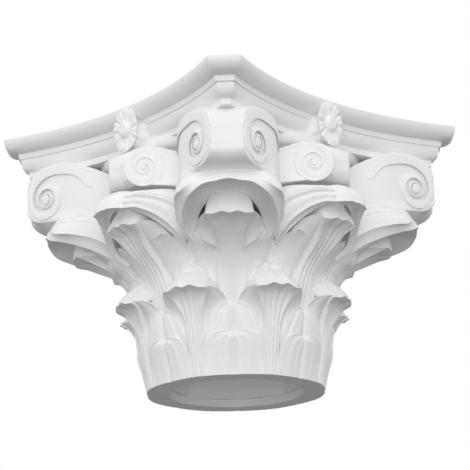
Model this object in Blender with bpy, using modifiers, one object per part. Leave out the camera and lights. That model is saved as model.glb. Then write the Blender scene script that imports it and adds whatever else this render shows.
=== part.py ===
"""Corinthian capital for an interior column, moulded as one hollow piece.

Metres, +Z up. The origin is the centre of the ring at the foot, and the four sides of the abacus
face +X, +Y, -X and -Y, so its cut corners lie on the diagonals. Every form is laid out along an
arm, a direction from the axis: reach is the distance along the arm, across is to its left.
"""

import math
from dataclasses import dataclass

import bmesh
import bpy
from mathutils import Vector

# Overall sizes
HEIGHT = 0.415
NECK_RADIUS = 0.135

# Hollow core: a round recess that takes the top of the shaft, then a bore with flat sides
RECESS_RADIUS = 0.104
RECESS_DEPTH = 0.012
BORE_RADIUS = 0.1035
BORE_SIDES = 8

# Abacus: four concave sides with cut corners, over an ovolo, a fillet and a cavetto
ABACUS_HEIGHT = 0.052
CORNER_REACH = 0.358
CORNER_WIDTH = 0.047
SIDE_REACH = 0.220
OVOLO_HEIGHT = 0.021
OVOLO_OVERHANG = 0.0155
FILLET_HEIGHT = 0.009
FILLET_STEP = 0.002
CAVETTO_DEPTH = 0.010
SIDE_STEPS = 8
CUT_SHARE = 1.3
OVOLO_STEPS = 3
CAVETTO_STEPS = 3

# Bell behind the leaves, and its round lip under the abacus
LIP_RADIUS = 0.207
LIP_HEIGHT = 0.019
LIP_OVERHANG = 0.012
BELL_TOP_RADIUS = 0.186
BELL_FLARE = 1.6
BELL_STEPS = 40
MERGE_DISTANCE = 0.0001

# How far a form sinks into the one that carries it
EMBED = 0.010


@dataclass(frozen=True)
class Leaf:
    """One kind of acanthus leaf: a fan that flares out to a lip, and a cap from there to its crown."""

    reach: float
    lip: float
    crown: float
    crown_back: float
    root: float
    half_width: float
    tip_half_width: float
    steep: float
    flare: float
    lobe_tops: tuple


@dataclass(frozen=True)
class Scrolls:
    """A pair of scrolls back to back on one arm, with the hood leaf that carries them."""

    eye_reach: float
    eye_across: float
    eye_height: float
    radius: float
    strip_reach: float
    strip_half_width: float
    side_half_width: float
    root_reach: float
    hood_reach: float
    hood_top: float
    hood_lip: float
    hood_half_width: float
    hood_root_width: float
    hood_drop: float


# A leaf's lobes end at lobe_tops, shares of its rise; steep and flare bend its front
LOWER_LEAF = Leaf(reach=0.190, lip=0.126, crown=0.157, crown_back=0.031, root=-EMBED, half_width=0.059,
                  tip_half_width=0.036, steep=0.42, flare=7.0, lobe_tops=(0.52, 0.83))
CORNER_LEAF = Leaf(reach=0.250, lip=0.2155, crown=0.252, crown_back=0.020, root=0.050, half_width=0.064,
                   tip_half_width=0.037, steep=0.25, flare=7.0, lobe_tops=(0.70, 0.94))
SIDE_LEAF = Leaf(reach=0.238, lip=0.223, crown=0.251, crown_back=0.022, root=0.050, half_width=0.064,
                 tip_half_width=0.035, steep=0.30, flare=3.5, lobe_tops=(0.69, 0.91))
LOWER_LEAF_ANGLE = math.radians(22.8)
BELL_SINK = 0.012
LEAF_COLUMNS = 14
LEAF_ROWS = 26
LOBE_RELIEF = 0.013
LOBE_START = 0.40
LOBE_RISE = 0.08
LOBE_FALL = 0.05
EDGE_FALL = 0.22
LIP_SHARE = 0.88
LIP_FALL = 0.006
RIB_HEIGHT = 0.007

CORNER_SCROLLS = Scrolls(eye_reach=0.288, eye_across=0.044, eye_height=0.307, radius=0.045,
                         strip_reach=0.318, strip_half_width=0.025, side_half_width=0.074,
                         root_reach=0.165, hood_reach=0.291, hood_top=0.290, hood_lip=0.250,
                         hood_half_width=0.080, hood_root_width=0.062, hood_drop=0.064)
SIDE_SCROLLS = Scrolls(eye_reach=0.218, eye_across=0.038, eye_height=0.310, radius=0.032,
                       strip_reach=0.240, strip_half_width=0.017, side_half_width=0.085,
                       root_reach=0.165, hood_reach=0.268, hood_top=0.272, hood_lip=0.241,
                       hood_half_width=0.058, hood_root_width=0.082, hood_drop=0.040)
HOOD_THICKNESS = 0.007
HOOD_FILL = 0.024
HOOD_ROLL = 0.16
HOOD_WIDE = 0.80
HOOD_RISE = 0.010
HOOD_RISE_LENGTH = 0.045
HOOD_BROW = (0.028, 0.004)
HOOD_SHOULDER = (0.008, 0.015)
HOOD_TUCK = 0.002
HOOD_BOW = 0.006
HOOD_NARROWING = 0.26
HOOD_COLUMNS = 8
HOOD_ROWS = 6
SCROLL_RISE = 1.22
SCROLL_FALL = 0.80
NOSE_SHARE = 0.42
STRIP_CREASE = 0.004
STRIP_OVERLAP = 0.002
HUMP_FALL = 0.80
SCROLL_COLUMNS = 4
SCROLL_ROWS = 7
SPIRAL_RIB = 0.0035
SPIRAL_START = math.radians(100.0)
SPIRAL_SIZES = (0.80, 0.22)
SPIRAL_WIDTHS = (1.25, 0.70)
SPIRAL_CREST = 0.6
SPIRAL_TURNS = 1.5
SPIRAL_STEPS = 10

# Flower on each side of the abacus
FLOWER_REACH = 0.221
FLOWER_HEIGHT = 0.381
FLOWER_RADIUS = 0.033
FLOWER_WIDTH_SHARE = 0.80
FLOWER_THICKNESS = 0.010
FLOWER_PETALS = 10
PETAL_NOTCH = 0.86
PETAL_SINK = 0.004
# Its rings from the back to the button, as shares of its radius and of its thickness
FLOWER_RINGS = ((0.35, -1.0), (0.92, -0.2), (1.0, 0.0), (0.62, 0.1), (0.34, -0.2), (0.30, 0.4), (0.16, 0.8))
BUD_RADIUS = 0.027
BUD_LENGTH = 0.036
BUD_DROP = 0.004
BUD_SIDES = 12
BUD_RIBS = 6
BUD_RIB = 0.05

WHITE_PRIMER = (0.84, 0.84, 0.83, 1.0)
PRIMER_ROUGHNESS = 0.55

# Skin of the joined carving: the size of its cells and the share of its faces that is kept
SKIN_CELL = HEIGHT / 140.0
FACE_SHARE = 0.0218

HANDS = ((-1.0, "right"), (1.0, "left"))
CORNER_ARMS = [math.radians(45.0 + 90.0 * k) for k in range(4)]
SIDE_ARMS = [math.radians(90.0 * k) for k in range(4)]


def arm_point(angle, reach, across, height):
    """Return the point this far along an arm, to its left and up."""
    return Vector((reach * math.cos(angle) - across * math.sin(angle),
                   reach * math.sin(angle) + across * math.cos(angle), height))


def smooth_path(points, t):
    """Return the point at share t of a smooth curve through these two-number points."""
    lengths = [0.0]
    for a, b in zip(points, points[1:]):
        lengths.append(lengths[-1] + math.dist(a, b))
    place = max(0.0, min(1.0, t)) * lengths[-1]
    k = max(i for i in range(len(points) - 1) if lengths[i] <= place or i == 0)
    span = lengths[k + 1] - lengths[k]
    s = (place - lengths[k]) / span

    def slope(i):
        low, high = max(i - 1, 0), min(i + 1, len(points) - 1)
        return [(points[high][n] - points[low][n]) / (lengths[high] - lengths[low]) for n in (0, 1)]

    h = (2 * s**3 - 3 * s**2 + 1, s**3 - 2 * s**2 + s, -2 * s**3 + 3 * s**2, s**3 - s**2)
    m0, m1 = slope(k), slope(k + 1)
    return tuple(h[0] * points[k][n] + h[1] * span * m0[n] + h[2] * points[k + 1][n] + h[3] * span * m1[n]
                 for n in (0, 1))


def ramp(x, low, high):
    """Return 0 below low, 1 above high and a smooth rise between."""
    s = max(0.0, min(1.0, (x - low) / (high - low)))
    return s * s * (3.0 - 2.0 * s)


def bell_height():
    """Return the height of the underside of the abacus."""
    return HEIGHT - ABACUS_HEIGHT


def bell_radius(height):
    """Return the radius of the bell behind the leaves at this height."""
    share = max(0.0, min(1.0, height / bell_height()))
    return NECK_RADIUS - BELL_SINK + (BELL_TOP_RADIUS - NECK_RADIUS + BELL_SINK) * share**BELL_FLARE


def mesh_object(name, bm, collection):
    """Put a finished shape in its collection as an object."""
    bmesh.ops.recalc_face_normals(bm, faces=bm.faces)
    if bm.faces and bm.calc_volume(signed=True) < 0.0:
        bmesh.ops.reverse_faces(bm, faces=bm.faces)
    mesh = bpy.data.meshes.new(name)
    bm.to_mesh(mesh)
    bm.free()
    obj = bpy.data.objects.new(name, mesh)
    collection.objects.link(obj)
    return obj


def slab(name, columns, rows, front, back, collection):
    """Loft a closed sheet between two surfaces over a grid: u from -1 to 1 and v from 0 to 1."""
    bm = bmesh.new()
    bmesh.ops.create_grid(bm, x_segments=columns, y_segments=rows, size=1.0)
    outer = list(bm.verts)
    rim = [edge for edge in bm.edges if edge.is_boundary]
    copy = bmesh.ops.duplicate(bm, geom=bm.verts[:] + bm.edges[:] + bm.faces[:])
    twin = {vert: copy["vert_map"][vert] for vert in outer}
    for edge in rim:
        a, b = edge.verts
        bm.faces.new((a, b, twin[b], twin[a]))
    for vert in outer:
        u, v = vert.co.x, (vert.co.y + 1.0) / 2.0
        vert.co, twin[vert].co = front(u, v), back(u, v)
    return mesh_object(name, bm, collection)


def ring_loft(name, rings, collection):
    """Loft a closed solid through rings of points that all have the same number of points."""
    bm = bmesh.new()
    count = len(rings[0])
    made = [[bm.verts.new(point) for point in ring] for ring in rings]
    for low, high in zip(made, made[1:]):
        for k in range(count):
            bm.faces.new((low[k], low[(k + 1) % count], high[(k + 1) % count], high[k]))
    bm.faces.new(made[0])
    bm.faces.new(made[-1])
    bmesh.ops.poke(bm, faces=[face for face in bm.faces if len(face.verts) > 4])
    return mesh_object(name, bm, collection)


def abacus_outline(inset, height):
    """Return the outline of the abacus, drawn in by the inset all round, at this height."""
    half = CORNER_WIDTH / 2.0
    end_along = (CORNER_REACH - half) / math.sqrt(2.0)
    end_out = (CORNER_REACH + half) / math.sqrt(2.0)
    dip = end_out - SIDE_REACH
    radius = (end_along**2 + dip**2) / (2.0 * dip)
    swing = math.asin(end_along / radius)
    inner_radius = radius + inset
    # The inset arc stops where it meets the cut corner, which moves in by its own share
    corner_reach = CORNER_REACH - inset * CUT_SHARE
    points = []
    for side in SIDE_ARMS:
        for k in range(SIDE_STEPS + 1):
            turn = swing * (2.0 * k / SIDE_STEPS - 1.0)
            along, out = inner_radius * math.sin(turn), SIDE_REACH + radius - inner_radius * math.cos(turn)
            excess = (abs(along) + out) / math.sqrt(2.0) - corner_reach
            if k in (0, SIDE_STEPS):
                along, out = corner_end(side_radius=inner_radius, centre=SIDE_REACH + radius,
                                        corner_reach=corner_reach, sign=math.copysign(1.0, turn))
            elif excess > 0.0:
                along -= math.copysign(excess, along)
            points.append(arm_point(side, out, along, height))
    return points


def corner_end(side_radius, centre, corner_reach, sign):
    """Return where the concave side, an arc about a centre out on the arm, meets the cut corner."""
    # On the cut, along + out is fixed; the arc holds along**2 + (centre - out)**2
    total = corner_reach * math.sqrt(2.0)
    lean = total - centre
    along = (lean + math.sqrt(max(2.0 * side_radius**2 - lean**2, 0.0))) / 2.0
    return sign * along, total - along


def abacus(collection):
    """Model the abacus as a loft down its moulded profile."""
    rings = [abacus_outline(0.0, HEIGHT)]
    for k in range(1, OVOLO_STEPS + 1):
        turn = math.pi / 2.0 * k / OVOLO_STEPS
        rings.append(abacus_outline(OVOLO_OVERHANG * (1.0 - math.cos(turn)),
                                    HEIGHT - OVOLO_HEIGHT * math.sin(turn)))
    fillet_top, inset = HEIGHT - OVOLO_HEIGHT, OVOLO_OVERHANG + FILLET_STEP
    rings.append(abacus_outline(inset, fillet_top))
    rings.append(abacus_outline(inset, fillet_top - FILLET_HEIGHT))
    inset += FILLET_STEP
    cavetto_top = fillet_top - FILLET_HEIGHT
    rings.append(abacus_outline(inset, cavetto_top))
    for k in range(1, CAVETTO_STEPS + 1):
        turn = math.pi / 2.0 * k / CAVETTO_STEPS
        rings.append(abacus_outline(inset + CAVETTO_DEPTH * math.sin(turn),
                                    cavetto_top - (cavetto_top - bell_height()) * (1.0 - math.cos(turn))))
    rings.append(abacus_outline(inset + CAVETTO_DEPTH, bell_height() - EMBED))
    return ring_loft("abacus", rings, collection)


def bell(collection):
    """Model the plain bell and its lip as a turned profile."""
    top = bell_height()
    lip_low = top - LIP_HEIGHT
    outline = [(0.0, top + EMBED), (LIP_RADIUS - LIP_OVERHANG, top + EMBED),
               (LIP_RADIUS - LIP_OVERHANG / 2, top),
               (LIP_RADIUS, top - LIP_HEIGHT * 0.35), (LIP_RADIUS - LIP_OVERHANG * 0.35, lip_low),
               (bell_radius(lip_low), lip_low - LIP_HEIGHT * 0.3)]
    outline += [(bell_radius(top * share), top * share) for share in (0.75, 0.55, 0.3)]
    # It starts below the foot, which is then cut flat
    foot = NECK_RADIUS - BELL_SINK * 0.3
    outline += [(foot, 0.0), (foot, -EMBED), (0.0, -EMBED)]
    bm = bmesh.new()
    verts = [bm.verts.new((r, 0.0, z)) for r, z in outline]
    for a, b in zip(verts, verts[1:]):
        bm.edges.new((a, b))
    obj = mesh_object("bell", bm, collection)
    screw = obj.modifiers.new("turn", "SCREW")
    screw.axis = "Z"
    screw.angle = 2.0 * math.pi
    screw.steps = screw.render_steps = BELL_STEPS
    screw.use_merge_vertices = True
    screw.merge_threshold = MERGE_DISTANCE
    screw.use_normal_calculate = True
    return obj


def leaf_front(leaf, up):
    """Return the reach and height of the fan's face at this share of its rise."""
    root = NECK_RADIUS if leaf.root < 0.0 else bell_radius(leaf.root)
    out = leaf.steep * up + (1.0 - leaf.steep) * up**leaf.flare
    return root, root + (leaf.reach - root) * out, leaf.root + (leaf.lip - leaf.root) * up


def leaf_back(leaf):
    """Return the path behind the leaf: up inside the bell, out to the crown and down to the lip."""
    inside = bell_radius(max(leaf.root, 0.0)) - EMBED
    crown = leaf.reach - leaf.crown_back
    return [(inside, leaf.root), (bell_radius(leaf.lip) - EMBED, leaf.lip),
            (bell_radius(leaf.crown) - EMBED, leaf.crown), (crown, leaf.crown),
            (leaf.reach - leaf.crown_back * 0.35, leaf.lip + (leaf.crown - leaf.lip) * 0.55),
            (leaf.reach, leaf.lip)]


def lobe_relief(leaf, up):
    """Return how far a lobe stands out: each swells towards its own top and falls back above it."""
    relief, low = 0.0, 0.0
    for top in leaf.lobe_tops:
        swell = ramp(up, low, top) * (1.0 - ramp(up, top - LOBE_FALL, top + LOBE_FALL))
        relief = max(relief, LOBE_RELIEF * swell)
        low = top - LOBE_FALL
    return relief


def leaf_solid(name, leaf, angle, collection):
    """Model one leaf from its fan back to the bell, with its cap on top."""
    back = leaf_back(leaf)

    def half_width(up):
        narrowing = ramp(up, leaf.lobe_tops[-1] - LOBE_RISE, 1.0)
        return leaf.half_width + (leaf.tip_half_width - leaf.half_width) * narrowing

    def front_point(u, v):
        root, reach, height = leaf_front(leaf, v)
        near_lip = ramp(v, LIP_SHARE, 1.0)
        reach -= EDGE_FALL * (reach - root) * u * u * (1.0 - near_lip) + LIP_FALL * u * u * near_lip
        reach += lobe_relief(leaf, v) * ramp(abs(u), LOBE_START, LOBE_START + LOBE_RISE)
        # The middle rib stands between two troughs and dies out towards the lip
        trunk = math.cos(math.pi * min(abs(u) / LOBE_START, 1.0)) * (1.0 - near_lip)
        reach += RIB_HEIGHT * trunk * ramp(v, LOBE_RISE, 2.0 * LOBE_RISE)
        height -= LIP_FALL * u * u * near_lip
        return arm_point(angle + u * half_width(v) / reach, reach, 0.0, height)

    def back_point(u, v):
        reach, height = smooth_path(back, v)
        near_lip = ramp(v, LIP_SHARE, 1.0)
        if height > leaf.lip:
            height = leaf.lip + (height - leaf.lip) * math.sqrt(max(1.0 - u * u, 0.0))
        reach -= LIP_FALL * u * u * near_lip
        height -= LIP_FALL * u * u * near_lip
        return arm_point(angle + u * half_width(v) / max(reach, NECK_RADIUS), reach, 0.0, height)

    return slab(name, LEAF_COLUMNS, LEAF_ROWS, front_point, back_point, collection)


def hood_solid(name, scrolls, angle, collection):
    """Model the hood leaf that wraps the underside of a pair of scrolls, hollow below."""
    centre = [(scrolls.root_reach, scrolls.hood_top - HOOD_RISE),
              (scrolls.root_reach + HOOD_RISE_LENGTH, scrolls.hood_top),
              (scrolls.hood_reach - HOOD_BROW[0], scrolls.hood_top - HOOD_BROW[1]),
              (scrolls.hood_reach - HOOD_SHOULDER[0], scrolls.hood_top - HOOD_SHOULDER[1]),
              (scrolls.hood_reach, scrolls.hood_top * 0.45 + scrolls.hood_lip * 0.55),
              (scrolls.hood_reach - HOOD_TUCK, scrolls.hood_lip)]

    def surface(u, v, inner):
        reach, height = smooth_path(centre, v)
        widen = ramp(v, 0.0, 0.45)
        half = scrolls.hood_root_width + (scrolls.hood_half_width - scrolls.hood_root_width) * widen
        half *= 1.0 - HOOD_NARROWING * ramp(v, 0.62, 1.0)
        drop = scrolls.hood_drop * (1.0 + 0.35 * (1.0 - ramp(v, 0.0, 0.5))) * (1.0 - 0.96 * ramp(v, 0.60, 1.0))
        if inner:
            half -= HOOD_THICKNESS
            height -= HOOD_FILL * (1.0 - u * u) * (1.0 - ramp(v, 0.70, 0.95))
            reach -= HOOD_THICKNESS * ramp(v, 0.55, 0.9)
        # The section is widest above its lower edge, which rolls in
        side = math.sin(min(abs(u) / HOOD_WIDE, 1.0) * math.pi / 2.0) ** 0.8
        side -= HOOD_ROLL * ramp(abs(u), HOOD_WIDE, 1.0)
        return arm_point(angle, reach - HOOD_BOW * u * u * widen, math.copysign(half * side, u),
                         height - drop * (1.0 - math.cos(abs(u) * math.pi / 2.0)) ** 0.9)

    return slab(name, HOOD_COLUMNS, HOOD_ROWS, lambda u, v: surface(u, v, False),
                lambda u, v: surface(u, v, True), collection)


def scroll_half_width(scrolls, reach):
    """Return half the distance between the two faces of a scroll pair at this reach."""
    slope = (scrolls.eye_across - scrolls.strip_half_width) / (scrolls.strip_reach - scrolls.eye_reach)
    return min(scrolls.strip_half_width + slope * (scrolls.strip_reach - reach), scrolls.side_half_width)


def scroll_solid(name, scrolls, angle, hand, collection):
    """Model one scroll of a pair with its stalk, from the bell out to its rounded nose."""
    nose = scrolls.strip_reach - scrolls.eye_reach

    def surface(u, v, inner):
        run = math.sin(v * math.pi / 2.0)
        reach = scrolls.root_reach + (scrolls.strip_reach - scrolls.root_reach) * run
        past = max(reach - scrolls.eye_reach, 0.0) / nose
        before = max(scrolls.eye_reach - reach, 0.0) / (scrolls.eye_reach - scrolls.root_reach)
        bow = math.sqrt(max(1.0 - past**2, 0.0)) * (1.0 - NOSE_SHARE) + NOSE_SHARE
        high = scrolls.eye_height + scrolls.radius * (SCROLL_RISE * bow - HUMP_FALL * before**2)
        low = scrolls.eye_height - scrolls.radius * (SCROLL_FALL * bow + 0.25 * before)
        height = (high + low) / 2.0 + u * (high - low) / 2.0
        if inner:
            return arm_point(angle, reach - STRIP_CREASE * past, -hand * STRIP_OVERLAP, height)
        return arm_point(angle, reach, hand * scroll_half_width(scrolls, reach), height)

    return slab(name, SCROLL_COLUMNS, SCROLL_ROWS, lambda u, v: surface(u, v, False),
                lambda u, v: surface(u, v, True), collection)


def spiral(name, scrolls, angle, hand, collection):
    """Model the raised rib that winds into the eye on one face of a scroll."""
    slope = (scrolls.eye_across - scrolls.strip_half_width) / (scrolls.strip_reach - scrolls.eye_reach)
    face = math.atan(slope)
    centre = arm_point(angle, scrolls.eye_reach, hand * scrolls.eye_across, scrolls.eye_height)
    along = arm_point(angle, math.cos(face), -hand * math.sin(face), 0.0)
    normal = arm_point(angle, math.sin(face), hand * math.cos(face), 0.0)
    count = round(SPIRAL_TURNS * SPIRAL_STEPS)
    rings = []
    for k in range(count + 1):
        turn = SPIRAL_START + 2.0 * math.pi * k / SPIRAL_STEPS
        size = scrolls.radius * (SPIRAL_SIZES[0] + (SPIRAL_SIZES[1] - SPIRAL_SIZES[0]) * k / count)
        wide = SPIRAL_RIB * (SPIRAL_WIDTHS[0] + (SPIRAL_WIDTHS[1] - SPIRAL_WIDTHS[0]) * k / count)
        out = along * math.cos(turn) + Vector((0.0, 0.0, math.sin(turn)))
        middle = centre + out * size
        crest = wide * SPIRAL_CREST
        rings.append([middle - out * wide - normal * EMBED / 2, middle - out * crest + normal * SPIRAL_RIB,
                      middle + out * crest + normal * SPIRAL_RIB, middle + out * wide - normal * EMBED / 2])
    return ring_loft(name, rings, collection)


def flower(name, angle, collection):
    """Model a flower of notched petals with a round button at its centre."""
    count = FLOWER_PETALS * 2
    rings = []
    for size, lift in FLOWER_RINGS:
        ring = []
        for k in range(count):
            turn = 2.0 * math.pi * k / count
            between = k % 2 and size > 0.5
            spread = FLOWER_RADIUS * size * (PETAL_NOTCH if between else 1.0)
            reach = FLOWER_REACH + FLOWER_THICKNESS * lift - (PETAL_SINK if between else 0.0)
            ring.append(arm_point(angle, reach, FLOWER_WIDTH_SHARE * spread * math.cos(turn),
                                  FLOWER_HEIGHT + spread * math.sin(turn)))
        rings.append(ring)
    return ring_loft(name, rings, collection)


def bud(name, angle, collection):
    """Model the ribbed bud that carries a flower, running back into the abacus."""
    bm = bmesh.new()
    bmesh.ops.create_uvsphere(bm, u_segments=BUD_SIDES, v_segments=8, radius=1.0)
    for vert in bm.verts:
        turn = math.atan2(vert.co.y, vert.co.x)
        spread = BUD_RADIUS * (1.0 + BUD_RIB * math.cos(BUD_RIBS * turn))
        vert.co = arm_point(angle, FLOWER_REACH - BUD_LENGTH + BUD_LENGTH * vert.co.z,
                            spread * vert.co.x, FLOWER_HEIGHT - BUD_DROP + spread * vert.co.y)
    return mesh_object(name, bm, collection)


def core(collection):
    """Model the recess and the flat-sided bore as cutters."""
    for name, sides, radius, low, high in (("recess", BELL_STEPS, RECESS_RADIUS, -EMBED, RECESS_DEPTH),
                                           ("bore", BORE_SIDES, BORE_RADIUS, RECESS_DEPTH / 2, HEIGHT + EMBED)):
        bm = bmesh.new()
        bmesh.ops.create_cone(bm, cap_ends=True, segments=sides, radius1=radius, radius2=radius,
                              depth=high - low)
        bmesh.ops.translate(bm, verts=bm.verts, vec=(0.0, 0.0, (low + high) / 2))
        mesh_object(name, bm, collection)


def cutter_box(collection):
    """Model the block that trims whatever reaches below the foot."""
    bm = bmesh.new()
    bmesh.ops.create_cube(bm, size=2.0 * CORNER_REACH)
    bmesh.ops.translate(bm, verts=bm.verts, vec=(0.0, 0.0, -CORNER_REACH))
    return mesh_object("below_foot", bm, collection)


def combine(target, others, operation):
    """Add one Boolean modifier that joins or cuts with every object of a collection."""
    modifier = target.modifiers.new(others.name, "BOOLEAN")
    modifier.operation = operation
    # The forms cross in so many places that the exact solver leaves open edges
    modifier.solver = "MANIFOLD"
    modifier.operand_type = "COLLECTION"
    modifier.collection = others
    for other in others.objects:
        other.hide_render = True
        other.display_type = "WIRE"


def simplify(target):
    """Melt the joined carving into one even skin, then keep the faces that its shape needs."""
    melt = target.modifiers.new("melt", "REMESH")
    melt.mode = "VOXEL"
    melt.voxel_size = SKIN_CELL
    keep = target.modifiers.new("keep", "DECIMATE")
    keep.decimate_type = "COLLAPSE"
    keep.ratio = FACE_SHARE


def primer():
    """Return the matt white primer that covers the whole casting."""
    material = bpy.data.materials.new("white_primer")
    material.use_nodes = True
    shader = material.node_tree.nodes["Principled BSDF"]
    shader.inputs["Base Color"].default_value = WHITE_PRIMER
    shader.inputs["Roughness"].default_value = PRIMER_ROUGHNESS
    shader.inputs["Metallic"].default_value = 0.0
    return material


def main():
    """Build the capital as one solid."""
    for obj in list(bpy.data.objects):
        bpy.data.objects.remove(obj, do_unlink=True)
    model, forms, crisp, cuts = (bpy.data.collections.new(name)
                                 for name in ("corinthian_capital", "carving", "crisp", "cuts"))
    for collection in (model, forms, crisp, cuts):
        bpy.context.scene.collection.children.link(collection)

    abacus(crisp)
    for k, angle in enumerate(CORNER_ARMS):
        leaf_solid(f"corner_leaf_{k}", CORNER_LEAF, angle, forms)
        hood_solid(f"corner_hood_{k}", CORNER_SCROLLS, angle, forms)
        for hand, side in HANDS:
            leaf_solid(f"lower_leaf_{k}_{side}", LOWER_LEAF, angle + hand * LOWER_LEAF_ANGLE, forms)
            scroll_solid(f"corner_scroll_{k}_{side}", CORNER_SCROLLS, angle, hand, forms)
            spiral(f"corner_spiral_{k}_{side}", CORNER_SCROLLS, angle, hand, forms)
    for k, angle in enumerate(SIDE_ARMS):
        leaf_solid(f"side_leaf_{k}", SIDE_LEAF, angle, forms)
        hood_solid(f"side_hood_{k}", SIDE_SCROLLS, angle, forms)
        for hand, side in HANDS:
            scroll_solid(f"side_scroll_{k}_{side}", SIDE_SCROLLS, angle, hand, forms)
            spiral(f"side_spiral_{k}_{side}", SIDE_SCROLLS, angle, hand, forms)
        bud(f"bud_{k}", angle, forms)
        flower(f"flower_{k}", angle, forms)
    core(cuts)
    cutter_box(cuts)

    capital = bell(model)
    capital.name = "capital"
    combine(capital, forms, "UNION")
    simplify(capital)
    combine(capital, crisp, "UNION")
    combine(capital, cuts, "DIFFERENCE")
    capital.data.materials.append(primer())


main()
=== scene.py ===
import logging
import math
from contextlib import contextmanager
from dataclasses import dataclass, field
from enum import Enum
from typing import Callable, Iterator, Sequence

import bpy
import numpy as np
from mathutils import Matrix, Vector


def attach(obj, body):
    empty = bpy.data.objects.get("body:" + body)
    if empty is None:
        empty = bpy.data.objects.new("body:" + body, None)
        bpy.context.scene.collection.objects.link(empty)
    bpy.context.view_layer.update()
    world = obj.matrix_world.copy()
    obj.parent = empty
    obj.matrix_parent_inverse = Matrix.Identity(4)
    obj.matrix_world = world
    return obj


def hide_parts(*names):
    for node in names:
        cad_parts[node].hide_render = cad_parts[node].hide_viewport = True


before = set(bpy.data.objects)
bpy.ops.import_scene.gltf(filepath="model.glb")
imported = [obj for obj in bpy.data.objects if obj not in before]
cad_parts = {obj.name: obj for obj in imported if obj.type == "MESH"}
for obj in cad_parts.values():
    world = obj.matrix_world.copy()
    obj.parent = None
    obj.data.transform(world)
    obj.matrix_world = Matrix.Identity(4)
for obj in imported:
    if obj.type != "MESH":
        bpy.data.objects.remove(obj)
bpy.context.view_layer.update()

log = logging.getLogger("capital")

MM = 0.001
Points = np.ndarray
Surface = Callable[[np.ndarray, np.ndarray], Points]


class Arm(Enum):
    """The two kinds of direction that the carving is laid out along, by its first angle."""

    SIDE = 0.0
    CORNER = 45.0

    def angles(self) -> list[float]:
        """Return the four directions of this kind, in radians."""
        return [math.radians(self.value + 90.0 * k) for k in range(4)]


# Curves and surfaces


def ramp(x: np.ndarray, low: float, high: float) -> np.ndarray:
    """Return 0 below low, 1 above high and a smooth rise between."""
    s = np.clip((np.asarray(x, float) - low) / (high - low), 0.0, 1.0)
    return s * s * (3.0 - 2.0 * s)


def gauss(x: np.ndarray, middle: float, width: float) -> np.ndarray:
    """Return a smooth rise to 1 about the middle."""
    return np.exp(-(((x - middle) / width) ** 2))


def creases(share: np.ndarray, count: int, power: float) -> np.ndarray:
    """Return 1 at the lines between this many bands, and a broad, round fall to 0 halfway between."""
    return 1.0 - np.abs(np.sin(np.pi * count * share)) ** power


def wrap(reach: np.ndarray, arc: np.ndarray, height: np.ndarray) -> Points:
    """Place points by their distance from the axis, their arc to the left of +X and their height."""
    turn = arc / np.maximum(reach, 1.0e-6)
    return np.stack([reach * np.cos(turn), reach * np.sin(turn), height], -1)


class Curve:
    """A smooth curve through control points in millimetres, read by share of its length."""

    def __init__(self, points: Sequence[Sequence[float]], steps: int = 16) -> None:
        """Sample the curve.

        Args:
            points: the control points, all with the same count of numbers, in millimetres.
            steps: how many samples each stretch gets.
        """
        knots = np.array(points, float) * MM
        gaps = np.linalg.norm(np.diff(knots, axis=0), axis=1)
        length = np.concatenate([[0.0], np.cumsum(gaps)])
        last = len(knots) - 1
        slopes = np.array([(knots[min(i + 1, last)] - knots[max(i - 1, 0)])
                           / (length[min(i + 1, last)] - length[max(i - 1, 0)]) for i in range(last + 1)])
        rows = []
        for k in range(last):
            s = np.arange(steps)[:, None] / steps
            rows.append((2 * s**3 - 3 * s**2 + 1) * knots[k] + (s**3 - 2 * s**2 + s) * gaps[k] * slopes[k]
                        + (-2 * s**3 + 3 * s**2) * knots[k + 1] + (s**3 - s**2) * gaps[k] * slopes[k + 1])
        self.table = np.vstack(rows + [knots[-1:]])
        run = np.concatenate([[0.0], np.cumsum(np.linalg.norm(np.diff(self.table, axis=0), axis=1))])
        self.length = float(run[-1])
        self.share = run / run[-1]

    def at(self, t: np.ndarray) -> Points:
        """Return the points at these shares of the length."""
        return np.stack([np.interp(t, self.share, self.table[:, i]) for i in range(self.table.shape[1])], -1)

    def normal(self, t: np.ndarray) -> Points:
        """Return the unit normals to the right of a flat curve's run."""
        run = self.at(np.clip(t + 0.01, 0.0, 1.0)) - self.at(np.clip(t - 0.01, 0.0, 1.0))
        run /= np.linalg.norm(run, axis=-1, keepdims=True)
        return np.stack([run[..., 1], -run[..., 0]], -1)


# Modelling by operators


def clear_selection() -> None:
    """Deselect every object, because an operator acts on all that is selected."""
    bpy.ops.object.select_all(action="DESELECT")


@contextmanager
def editing(obj: bpy.types.Object) -> Iterator[None]:
    """Hold one object in edit mode with its whole mesh selected."""
    clear_selection()
    bpy.context.view_layer.objects.active = obj
    obj.select_set(True)
    bpy.ops.object.mode_set(mode="EDIT")
    bpy.ops.mesh.select_all(action="SELECT")
    yield
    bpy.ops.object.mode_set(mode="OBJECT")


def read_points(obj: bpy.types.Object) -> Points:
    """Return the mesh's vertices."""
    flat = np.zeros(len(obj.data.vertices) * 3)
    obj.data.vertices.foreach_get("co", flat)
    return flat.reshape(-1, 3)


def move_points(obj: bpy.types.Object, points: Points) -> None:
    """Move the mesh's vertices, and turn its faces outwards if the move turned them in."""
    obj.data.vertices.foreach_set("co", np.asarray(points, float).ravel())
    obj.data.update()
    if signed_volume(obj) < 0.0:
        with editing(obj):
            bpy.ops.mesh.flip_normals()


def signed_volume(obj: bpy.types.Object) -> float:
    """Return the volume of a closed mesh, negative where its faces point inwards."""
    mesh = obj.data
    mesh.calc_loop_triangles()
    corners = np.zeros(len(mesh.loop_triangles) * 3, np.int32)
    mesh.loop_triangles.foreach_get("vertices", corners)
    a, b, c = read_points(obj)[corners.reshape(-1, 3)].transpose(1, 0, 2)
    return float(np.einsum("ij,ij->i", a, np.cross(b, c)).sum() / 6.0)


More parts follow.
